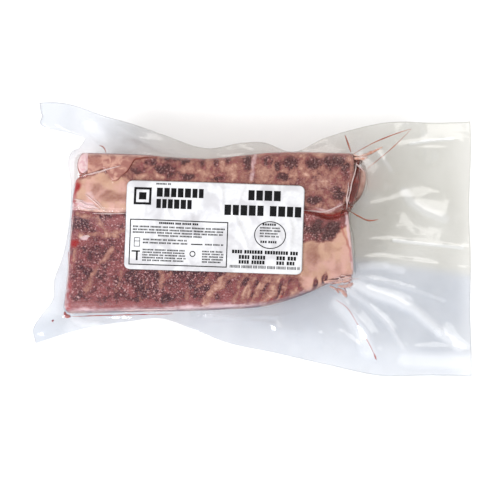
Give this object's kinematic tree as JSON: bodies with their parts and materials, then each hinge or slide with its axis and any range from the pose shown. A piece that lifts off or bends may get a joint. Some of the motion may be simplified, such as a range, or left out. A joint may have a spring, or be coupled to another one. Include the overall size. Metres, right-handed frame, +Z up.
{
  "type": "vacuum-packed raw beef short ribs",
  "caption": "Raw beef short ribs side by side in a clear vacuum pouch with a paper label; it lies flat and holds together when picked up.",
  "frame": {"origin": "on the table under the middle of the pack's box", "axes": "+X along the ribs, towards the pouch's long tail; +Z up through the label; +Y across the ribs, from the wider rib to the narrower one"},
  "size_m": [0.2642, 0.1638, 0.0463],
  "materials": {
    "sealed_pack": "clear film drawn tight over dark red meat, smooth and shiny",
    "label_paper": "white coated sticker paper, satin",
    "label_ink": "black thermal print, matt",
    "film": "clear plastic film, glossy, with creases",
    "raw_beef": "raw lean beef with fine fat marbling, moist",
    "beef_fat": "tan and pink fat with silverskin, moist",
    "bone": "sawn rib bone, pinkish white with a red marrow edge",
    "meat_juice": "thin red meat juice in the folds of the film"
  },
  "bodies": {
    "root": {"sealed_bag": "sealed_pack", "label": "label_paper"}
  },
  "joints": []
}
